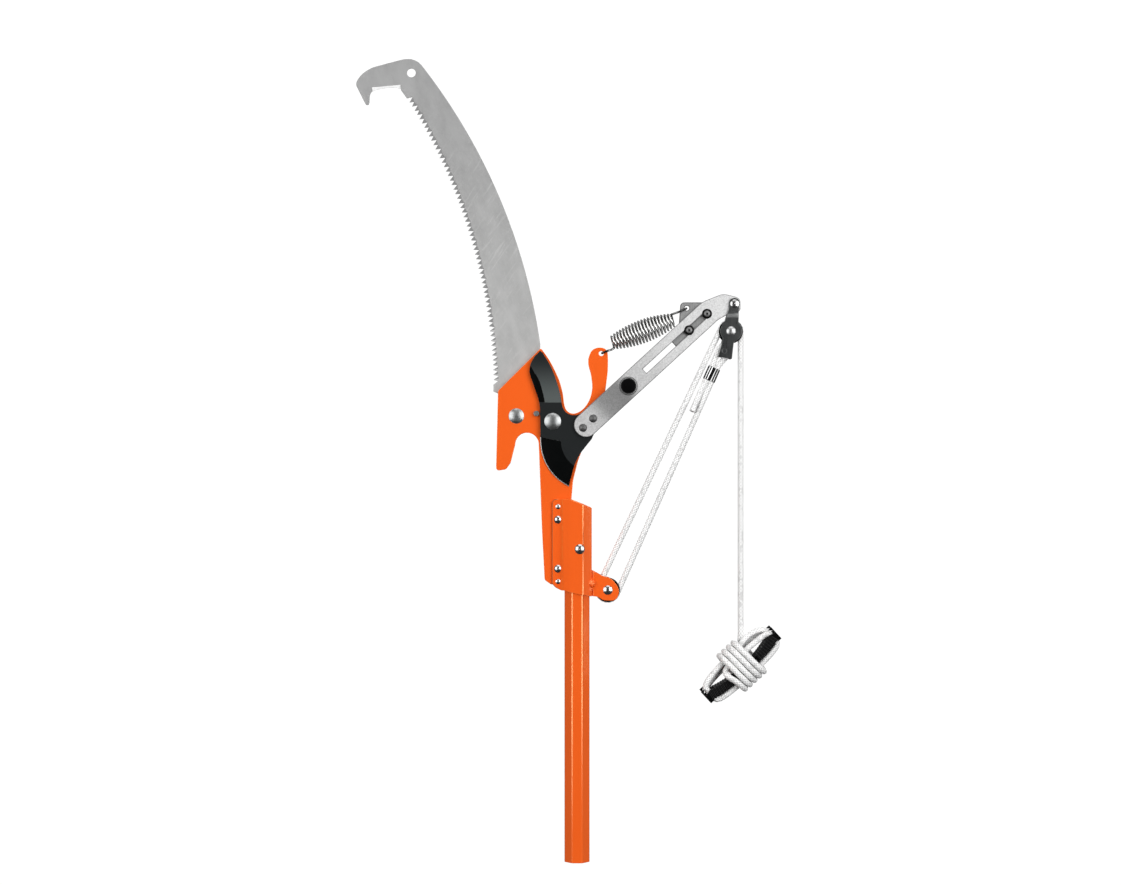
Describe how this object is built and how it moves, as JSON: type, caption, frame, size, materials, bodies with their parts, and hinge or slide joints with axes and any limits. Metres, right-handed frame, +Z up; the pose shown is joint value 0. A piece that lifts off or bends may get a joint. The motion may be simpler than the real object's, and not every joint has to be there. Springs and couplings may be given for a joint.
{
  "type": "tree pruner pole head",
  "caption": "Pole pruner head with a hook plate, rope-pulled curved cutter on a sprung lever, pulley block, hooked pruning saw and a pole socket.",
  "frame": {"origin": "centre of the pole's open lower end, where it goes on down or joins another pole", "axes": "+Z up along the pole, the front with the cutter faces -Y, the saw leans to -X and the lever to +X"},
  "size_m": [0.4237, 0.0466, 0.8026],
  "materials": {
    "orange_paint": "powder coat, semi-gloss",
    "zinc_plate": "zinc plated, bright",
    "bright_zinc": "zinc plated, polished",
    "saw_steel": "satin with fine scratches",
    "black_steel": "black coated, satin",
    "arm_steel": "satin",
    "dark_steel": "dull plated",
    "strap_steel": "dark plated, satin",
    "spring_wire": "bright drawn wire",
    "rope": "white braided cord",
    "black_plastic": "moulded, matte"
  },
  "bodies": {
    "head": {"pole": "orange_paint", "pole_socket": "orange_paint", "socket_bolts": "bright_zinc", "socket_nuts": "zinc_plate", "socket_rivets": "bright_zinc", "pole_bolt": "bright_zinc", "pole_nut": "zinc_plate", "pulley_bracket": "orange_paint", "bracket_weld": "orange_paint", "lower_axle": "bright_zinc", "head_plate": "orange_paint", "saw_blade": "saw_steel", "saw_bolt": "zinc_plate", "saw_nut": "zinc_plate", "stop_pin": "zinc_plate", "pivot_bolt": "zinc_plate", "pivot_nut": "zinc_plate"},
    "lever": {"cutter_blade": "black_steel", "lever_arm": "arm_steel", "lever_rivets": "dark_steel", "arm_plug": "black_plastic", "spring_anchor": "dark_steel", "anchor_bolts": "dark_steel", "anchor_nuts": "dark_steel"},
    "block": {"strap_front": "strap_steel", "strap_rear": "strap_steel", "block_pin": "bright_zinc", "upper_axle": "bright_zinc", "becket_pin": "strap_steel", "rope_eye": "rope", "rope_ferrule": "bright_zinc", "rope_dead_end": "rope"},
    "upper_pulley": {"upper_sheave": "black_plastic"},
    "lower_pulley": {"lower_sheave": "black_plastic"},
    "standing_rope": {"standing_strand": "rope"},
    "return_rope": {"return_strand": "rope"},
    "fall": {"rope_fall": "rope"},
    "handle": {"rope_handle": "black_plastic", "rope_hank": "rope"},
    "spring": {"return_spring": "spring_wire"},
    "spring_end": {"spring_hook": "spring_wire"}
  },
  "joints": [
    {"name": "blade_swing", "type": "hinge", "parent": "head", "child": "lever", "pos_m": [-0.0243, 0, 0.4396], "axis": [0, 1, 0], "range_deg": [0, 55], "stiffness_Nm_per_rad": 1, "springref_deg": -91.67, "deforming": ["standing_strand", "return_strand", "rope_fall", "return_spring", "spring_hook"]},
    {"name": "block_swivel", "type": "hinge", "parent": "lever", "child": "block", "pos_m": [0.1568, -0.0078, 0.5565], "axis": [0, 1, 0], "range_deg": [-29.16, 0]},
    {"name": "upper_sheave_spin", "type": "hinge", "parent": "block", "child": "upper_pulley", "pos_m": [0.153, -0.0078, 0.5291], "axis": [0, 1, 0], "continuous": true},
    {"name": "lower_sheave_spin", "type": "hinge", "parent": "head", "child": "lower_pulley", "pos_m": [0.03075, 0, 0.27115], "axis": [0, 1, 0], "continuous": true},
    {"name": "standing_rope_turn", "type": "hinge", "parent": "head", "child": "standing_rope", "pos_m": [0.03075, 0, 0.27115], "axis": [0, 1, 0], "range_deg": [0, 43.22]},
    {"name": "return_rope_turn", "type": "hinge", "parent": "head", "child": "return_rope", "pos_m": [0.03075, 0, 0.27115], "axis": [0, 1, 0], "range_deg": [0, 38.25]},
    {"name": "fall_plumb", "type": "hinge", "parent": "block", "child": "fall", "pos_m": [0.153, -0.0078, 0.5291], "axis": [0, 1, 0], "range_deg": [-25.86, 0]},
    {"name": "rope_pull", "type": "slide", "parent": "fall", "child": "handle", "axis": [0, 0, -1], "range_m": [0, 0.2797]},
    {"name": "spring_turn", "type": "hinge", "parent": "head", "child": "spring", "pos_m": [0.0243, 0, 0.5075], "axis": [0, 1, 0], "range_deg": [0, 70.9]},
    {"name": "spring_stretch", "type": "slide", "parent": "spring", "child": "spring_end", "axis": [0.8845, 0, 0.4666], "range_m": [0, 0.0693]}
  ],
  "couplings": [
    {"joint": "block_swivel", "follows": "blade_swing", "ratio": -0.53},
    {"joint": "upper_sheave_spin", "follows": "blade_swing", "ratio": 29.088},
    {"joint": "lower_sheave_spin", "follows": "blade_swing", "ratio": 14.38},
    {"joint": "standing_rope_turn", "follows": "blade_swing", "ratio": 0.7856},
    {"joint": "return_rope_turn", "follows": "blade_swing", "ratio": 0.6953},
    {"joint": "fall_plumb", "follows": "blade_swing", "ratio": -0.47},
    {"joint": "rope_pull", "follows": "blade_swing", "m_per_rad": 0.2909},
    {"joint": "spring_turn", "follows": "blade_swing", "ratio": 1.2889},
    {"joint": "spring_stretch", "follows": "blade_swing", "m_per_rad": 0.0716}
  ]
}
